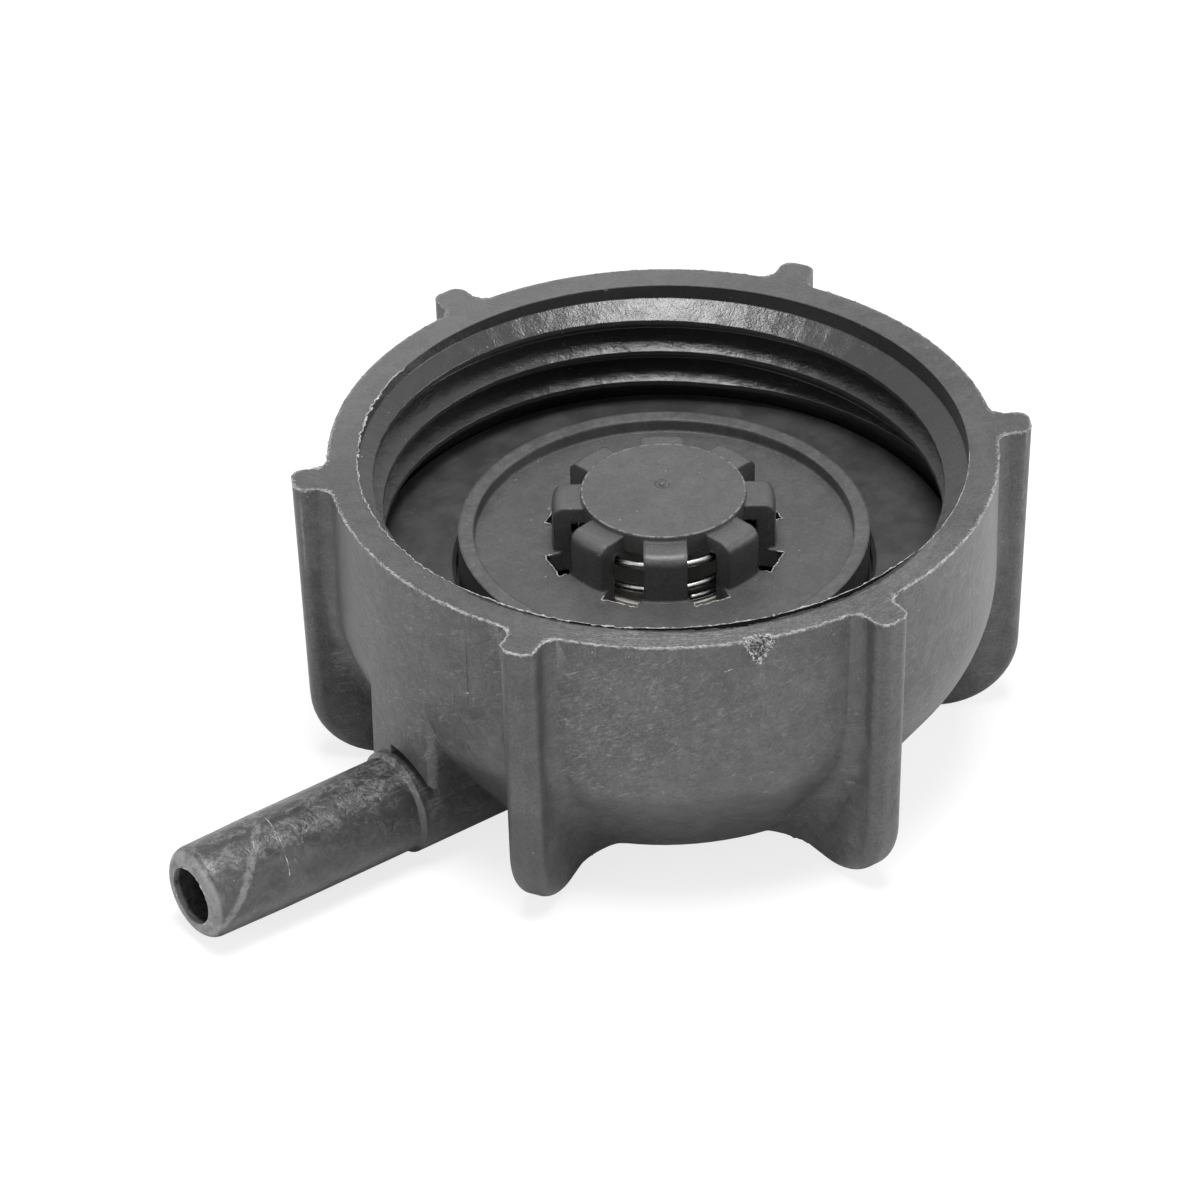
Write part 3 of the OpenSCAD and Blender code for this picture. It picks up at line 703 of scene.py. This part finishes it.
def blend_radius(z):
    """Rounding beside a fin: as the solid's on the wall, wider towards the closed end."""
    t = min(1.0, max(0.0, (BLEND_TOP - z) / BLEND_RUN))
    return BLEND_R + BLEND_MORE * t * t * (3 - 2 * t)


# wider rounding at the fins' feet
points = []
faces = []
for k in range(FIN_COUNT):
    a = math.radians(FIN_FIRST + FIN_STEP * k)
    for side in (-1, 1):
        start = len(points)
        profile = body_profile()
        for r, z, nr, nz in profile:
            round_r = blend_radius(z)
            axis_v = FIN_HALF + round_r
            if nr > 0.02:
                curve = r / nr
                axis_h = math.sqrt((curve + round_r) ** 2 - axis_v ** 2) - curve
                last = math.atan2(-(curve + axis_h), -axis_v) % (2 * math.pi)
            else:
                axis_h = round_r
                last = 1.5 * math.pi
            for i in range(BLEND_STEPS + 1):
                q = math.pi + (last - math.pi) * i / BLEND_STEPS
                v = side * (axis_v + round_r * math.cos(q))
                h = axis_h + round_r * math.sin(q)
                u = r + nr * h
                height = max(0.02, z + nz * h)
                v -= side * (FIN_HALF - fin_half(height)) * (1 - i / BLEND_STEPS)
                points.append(swung(u, v, height, a))
        for j in range(len(profile) - 1):
            for i in range(BLEND_STEPS):
                first = start + j * (BLEND_STEPS + 1) + i
                face = (first, first + BLEND_STEPS + 1, first + BLEND_STEPS + 2, first + 1)
                faces.append(face if side < 0 else face[::-1])
piece("fin_foot_blends", points, faces, [mat_body], "cap")

# painted shade: near-black sheet for the shaded flank of the flash, from the film's edge down to the rim's
# top
GAP_FROM = 206.0
GAP_TO = 284.0
GAP_STEPS = 468
points = []
for i in range(GAP_STEPS + 1):
    az = GAP_FROM + (GAP_TO - GAP_FROM) * i / GAP_STEPS
    here = polar(THREAD_R, az, RIM_Z)
    middle = math.exp(-((az - 246) / 11) ** 2) + 0.9 * math.exp(-((az - 268) / 8) ** 2)
    ends = min(1.0, (az - GAP_FROM) / 8, (GAP_TO - az) / 8)
    rough = 0.75 + 0.5 * wobble(here, 61.0, 0.8) + 0.35 * wobble(here, 63.0, 3.1)
    wide = ends * (0.10 + 0.42 * min(1.0, middle)) * max(0.15, rough)
    points.append(polar(THREAD_R - 0.03, az, RIM_Z + 0.02 + 0.10 * ends))
    points.append(polar(THREAD_R + 0.02 + wide, az, RIM_Z + 0.008))
    points.append(polar(THREAD_R + 0.02 + wide, az, RIM_Z - 0.05))
    points.append(polar(THREAD_R + 0.02, az, RIM_Z - 0.05))
faces = []
for i in range(GAP_STEPS):
    for j in range(4):
        a = 4 * i + j
        b = 4 * i + (j + 1) % 4
        faces.append((a, a + 4, b + 4, b))
faces.append((0, 1, 2, 3))
faces.append(tuple(4 * GAP_STEPS + j for j in (3, 2, 1, 0)))
piece("rim_flash_shade_sheet", points, faces, [mat_flash_shade], "cap")

# nick in the outer edge: crumbled plastic, its inside painted in shade
NICK_FROM = 245.2
NICK_TO = 251.9
NICK_COLS = 60
NICK_ROWS = 50


def nick_place(u, v):
    """Point of the nick's crumbled skin: u round the rim, v from its top down the wall."""
    az = NICK_FROM + (NICK_TO - NICK_FROM) * u
    run = 4.4 * v - 1.3
    middle = 1 - abs(2 * u - 1) ** 2.2
    depth = max(0.0, middle) * (1 - abs(2 * v - 1) ** 2.5)
    base = polar(RIM_R - 0.02, az, RIM_Z)
    crumb = 0.5 + 0.5 * noise.noise(base * 2.1 + Vector((0, 0, run * 2.1)))
    crumb += 0.35 * noise.noise(base * 5.3 + Vector((0, 0, run * 5.3)))
    proud = -0.06 + depth * (0.10 + 0.30 * max(0.0, crumb))
    if run < 0:
        return polar(RIM_R + run * 0.9, az, RIM_Z + proud * 0.6)
    corner = math.exp(-(run / 0.5) ** 2) * 0.6
    return polar(RIM_R - 0.003 * run + proud, az, RIM_Z - run - 0.02 + corner * proud)


points, faces = grid_patch(NICK_ROWS, NICK_COLS, nick_place)
face_mats = []
for face in faces:
    a = face[0]
    u = (a % NICK_COLS) / (NICK_COLS - 1)
    v = (a // NICK_COLS) / (NICK_ROWS - 1)
    width = 0.80 * (1.2 - v)
    inside = (abs(2 * u - 0.98) / max(0.1, width)) ** 2 + (abs(v - 0.46) / 0.40) ** 2
    coarse = noise.noise(Vector((u * 9, v * 9, 4.2)))
    fine = noise.noise(Vector((u * 23, v * 23, 1.7)))
    inside += coarse + 0.9 * fine
    face_mats.append(1 if inside < 0.75 else 0 if inside < 1.3 else 2)
kept = [i for i, kind in enumerate(face_mats) if kind != 2]
faces = [faces[i] for i in kept]
face_mats = [face_mats[i] for i in kept]
piece("rim_nick", points, faces, [mat_torn, mat_nick_shade], "cap", face_mats, False)

# short scrape beside the nick, nub on the parting line, chips near the fin: azimuth, z, length, height, seed
marks = []
for az, z, long, tall, seed in ((243.4, 30.9, 0.9, 0.10, 41), (SEAM_AZ, 24.4, 0.45, 0.14, 43),
                                (221, 33.2, 0.5, 0.06, 45), (227, 33.0, 0.4, 0.05, 47),
                                (262, 32.4, 0.5, 0.05, 49)):
    half = long / 2 / RIM_R * 180 / math.pi
    path = [polar(RIM_R - 0.03, az + turn, z + up) for turn, up in ((-half, -0.1), (0, 0), (half, 0.14))]
    marks.append(burr(path, outward, 0.22, tall, seed, gap=0.07))
points, faces = joined(marks)
piece("wall_chips", points, faces, [mat_torn], "cap")

# parting line down the wall
seam_path = [polar(RIM_R - 0.02, SEAM_AZ, z / 10) for z in range(228, int(RIM_Z * 10), 4)]
points, faces = burr(seam_path, outward, 0.10, 0.03, 51.0, gap=0.15)
piece("wall_parting_line", points, faces, [mat_body], "cap")

# ragged edges of the windows round the crown
edges = []
for k in range(FINGER_COUNT):
    turned = math.radians(FIRST_WINDOW + k * 360 / FINGER_COUNT)
    flat = [(CROWN_R + 0.1, -WINDOW_HALF), (WINDOW_OUT, -WINDOW_HALF), (WINDOW_OUT, WINDOW_HALF),
            (CROWN_R + 0.1, WINDOW_HALF)]
    path = [swung(u, v, PLATE_Z, turned) for u, v in flat]
    edges.append(burr(path, upward, 0.22, 0.16, 61.0 + k, gap=0.09))
points, faces = joined(edges)
piece("crown_window_burrs", points, faces, [mat_torn], "cap")


def nub(centre, radius, tall, seed, rings=7, sides=18):
    """Small lump with a torn top, the mark of a gate."""
    points = []
    for i in range(rings + 1):
        t = i / rings
        for j in range(sides):
            a = 2 * math.pi * j / sides
            uneven = noise.noise(Vector((math.cos(a), math.sin(a), seed + t)))
            r = radius * (1 - t ** 1.8) * (1 + 0.25 * uneven)
            z = tall * math.sin(t * math.pi / 2) * (1 + 0.2 * noise.noise(Vector((seed, a, t * 3))))
            points.append(centre + Vector((r * math.cos(a), r * math.sin(a), z - 0.03)))
    faces = []
    for i in range(rings):
        for j in range(sides):
            a = i * sides + j
            b = i * sides + (j + 1) % sides
            faces.append((a, b, b + sides, a + sides))
    faces.append(tuple(rings * sides + j for j in range(sides)))
    return points, faces


gate = Vector((0.55, 0.95, DISC_Z))
gate_ring = [gate + Vector((0.75 * math.cos(math.radians(a)), 0.75 * math.sin(math.radians(a)), 0))
             for a in range(0, 360, 10)]
gate_burr = burr(gate_ring + gate_ring[:1], upward, 0.14, 0.03, 71.0, gap=0.1)
points, faces = joined([nub(gate, 0.42, 0.35, 3.3), gate_burr])
piece("gate_mark", points, faces, [mat_carrier, mat_torn], "cap")


def on_nipple(x, degrees, r=NIPPLE_R - 0.03):
    """Point on the nipple, degrees from -Y over the top."""
    a = math.radians(degrees)
    return Vector((x, -r * math.cos(a), NIPPLE_Z + r * math.sin(a)))


# witness line across the nipple, scrapes beside it
witness = [on_nipple(-49.9 - (81 - a) * 0.011, a) for a in range(14, 112, 2)]
scrapes = [burr(witness, off_nipple, 0.16, 0.07, 81.0, gap=0.1)]
for x, low, high, seed in ((-52.6, 62, 72, 83), (-53.4, 54, 60, 84), (-49.4, 28, 34, 85),
                           (-41.2, 66, 71, 86), (-39.8, 72, 80, 87)):
    path = [on_nipple(x - (high - a) * 0.05, a) for a in range(low, high + 1, 2)]
    scrapes.append(burr(path, off_nipple, 0.18, 0.05, seed, gap=0.08))
points, faces = joined(scrapes)
piece("nipple_scrapes", points, faces, [mat_torn], "cap")

# torn lip of the nipple's bore: first and last degree, height, seed
lip = []
for first, last, tall, seed in ((20, 75, 0.14, 91), (88, 130, 0.10, 92), (-60, -20, 0.12, 93),
                                (190, 215, 0.10, 94)):
    path = [on_nipple(-NIPPLE_END + 0.02, a, BORE_R) for a in range(first, last + 1, 3)]
    lip.append(burr(path, off_end, 0.22, tall, seed, gap=0.08))
points, faces = joined(lip)
piece("nipple_lip", points, faces, [mat_torn], "cap")


def wire(coil_r, wire_r, turns, low, high, start, sides, per_turn):
    """Round wire on a helix with closed ends, as the solid spring, with more faces."""
    end_turns = 0.75
    rise = high - low - 2 * wire_r
    end_rise = end_turns * 2 * wire_r * 1.02
    count = round(turns * per_turn)
    points = []
    for i in range(count + 1):
        t = turns * i / count
        if t < end_turns:
            up = end_rise * t / end_turns
        elif t > turns - end_turns:
            up = rise - end_rise * (turns - t) / end_turns
        else:
            up = end_rise + (rise - 2 * end_rise) * (t - end_turns) / (turns - 2 * end_turns)
        a = math.radians(start + 360 * t)
        for j in range(sides):
            q = 2 * math.pi * (j + 0.5) / sides
            r = coil_r + wire_r * math.cos(q)
            height = low + wire_r + up + wire_r * math.sin(q)
            points.append(Vector((r * math.cos(a), r * math.sin(a), height)))
    faces = [tuple(range(sides))]
    for i in range(count):
        for j in range(sides):
            a = sides * i + j
            b = sides * i + (j + 1) % sides
            faces.append((a, a + sides, b + sides, b))
    faces.append(tuple(sides * count + j for j in range(sides - 1, -1, -1)))
    return points, faces


# springs: joint, coil and wire radius, turns, start angle, which end of the box is fixed, stroke
for name, joint, coil_r, wire_r, turns, start, anchor, stroke in (
    ("pressure_spring", "pressure_slide", 11.6, 0.9, 3.75, 20, 0, 2.0),
    ("vacuum_spring", "vacuum_slide", 8.6, 0.42, 2.7, -112, 1, 1.6),
):
    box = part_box(name)
    low = box[0][2] / MM
    high = box[1][2] / MM
    points, faces = wire(coil_r, wire_r, turns, low, high, start, 16, 72)
    spring = piece(name + "_wire", points, faces, [mat_wire], "cap")
    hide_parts(name)
    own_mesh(spring)


# camera, fitted to the photo: it stands in the rim's plane, in rim radii
TURN = Matrix.Rotation(math.radians(CAMERA_TURN), 4, "Z")
cam_data = bpy.data.cameras.new("camera")
cam_data.sensor_width = 36.0
cam_data.lens = CAMERA_LENS
cam_data.clip_start = 0.05
cam_data.clip_end = 20.0
cam = bpy.data.objects.new("camera", cam_data)
bpy.context.scene.collection.objects.link(cam)
aim = Matrix((
    (0.99983, 0.018406, 0.0, 0.0),
    (-0.010687, 0.58051, -0.81418, 0.0),
    (-0.014986, 0.81404, 0.58061, 0.0),
    (0.0, 0.0, 0.0, 1.0),
))
stand = Matrix.Translation(Vector((-0.1953, -16.495, 11.223)) * RIM_R * MM)
cam.matrix_world = Matrix.Translation((0, 0, RIM_Z * MM)) @ TURN @ stand @ aim
bpy.context.scene.camera = cam


def area(name, az, el, distance, wide, high, power):
    """Area light aimed at the object. az in degrees, 0 at the camera's side, growing to its right."""
    light = bpy.data.lights.new(name, "AREA")
    light.shape = "RECTANGLE"
    light.size = wide
    light.size_y = high
    light.energy = power
    made = bpy.data.objects.new(name, light)
    bpy.context.scene.collection.objects.link(made)
    a = math.radians(-90 + az + CAMERA_TURN)
    e = math.radians(el)
    target = Vector((0, 0, 0.02))
    away = Vector((math.cos(a) * math.cos(e), math.sin(a) * math.cos(e), math.sin(e)))
    made.location = target + away * distance
    made.rotation_euler = (-away).to_track_quat("-Z", "Y").to_euler()


area("top", 0, 84, 0.8, 0.36, 0.36, 7.6)
area("key", -55, 13, 0.9, 0.7, 0.35, 2.7)
area("side", 92, 12, 0.9, 0.5, 0.35, 6.4)
area("low", 5, 2, 0.9, 0.8, 0.16, 2.8)

world = bpy.data.worlds.new("world")
bpy.context.scene.world = world
world.use_nodes = True
sky = world.node_tree
sky.nodes.clear()
ray = sky.nodes.new("ShaderNodeLightPath")
seen = sky.nodes.new("ShaderNodeMath")
seen.operation = "MAXIMUM"
seen_all = sky.nodes.new("ShaderNodeMath")
seen_all.operation = "MAXIMUM"
white = sky.nodes.new("ShaderNodeBackground")
white.inputs["Color"].default_value = (1, 1, 1, 1)
white.inputs["Strength"].default_value = 1.0
fill = sky.nodes.new("ShaderNodeBackground")
fill.inputs["Color"].default_value = (1, 1, 1, 1)
fill.inputs["Strength"].default_value = 0.25
both = sky.nodes.new("ShaderNodeMixShader")
sky_out = sky.nodes.new("ShaderNodeOutputWorld")
sky.links.new(ray.outputs["Is Camera Ray"], seen.inputs[0])
sky.links.new(ray.outputs["Is Glossy Ray"], seen.inputs[1])
sky.links.new(seen.outputs[0], seen_all.inputs[0])
sky.links.new(ray.outputs["Is Transmission Ray"], seen_all.inputs[1])
sky.links.new(seen_all.outputs[0], both.inputs["Fac"])
sky.links.new(fill.outputs["Background"], both.inputs[1])
sky.links.new(white.outputs["Background"], both.inputs[2])
sky.links.new(both.outputs["Shader"], sky_out.inputs["Surface"])

# floor: white to the camera, with the object's own soft shadow kept
mat_floor = bpy.data.materials.new("floor")
mat_floor.use_nodes = True
ground = mat_floor.node_tree
ground.nodes.clear()
floor_ray = ground.nodes.new("ShaderNodeLightPath")
plain = ground.nodes.new("ShaderNodeBsdfDiffuse")
plain.inputs["Color"].default_value = (0.8, 0.8, 0.8, 1)
shadow = ground.nodes.new("ShaderNodeBsdfDiffuse")
shadow.inputs["Color"].default_value = (0.25, 0.25, 0.25, 1)
glow = ground.nodes.new("ShaderNodeEmission")
glow.inputs["Color"].default_value = (1, 1, 1, 1)
glow.inputs["Strength"].default_value = 0.78
lit = ground.nodes.new("ShaderNodeAddShader")
floor_mix = ground.nodes.new("ShaderNodeMixShader")
floor_out = ground.nodes.new("ShaderNodeOutputMaterial")
ground.links.new(shadow.outputs[0], lit.inputs[0])
ground.links.new(glow.outputs[0], lit.inputs[1])
ground.links.new(floor_ray.outputs["Is Camera Ray"], floor_mix.inputs["Fac"])
ground.links.new(plain.outputs[0], floor_mix.inputs[1])
ground.links.new(lit.outputs[0], floor_mix.inputs[2])
ground.links.new(floor_mix.outputs[0], floor_out.inputs["Surface"])
sheet = bpy.data.meshes.new("floor")
sheet.from_pydata([(-6, -6, 0), (6, -6, 0), (6, 6, 0), (-6, 6, 0)], [], [(0, 1, 2, 3)])
sheet.materials.append(mat_floor)
floor = bpy.data.objects.new("floor", sheet)
floor.location = (0, 0, -0.00002)
bpy.context.scene.collection.objects.link(floor)

bpy.context.scene.view_settings.view_transform = "Standard"
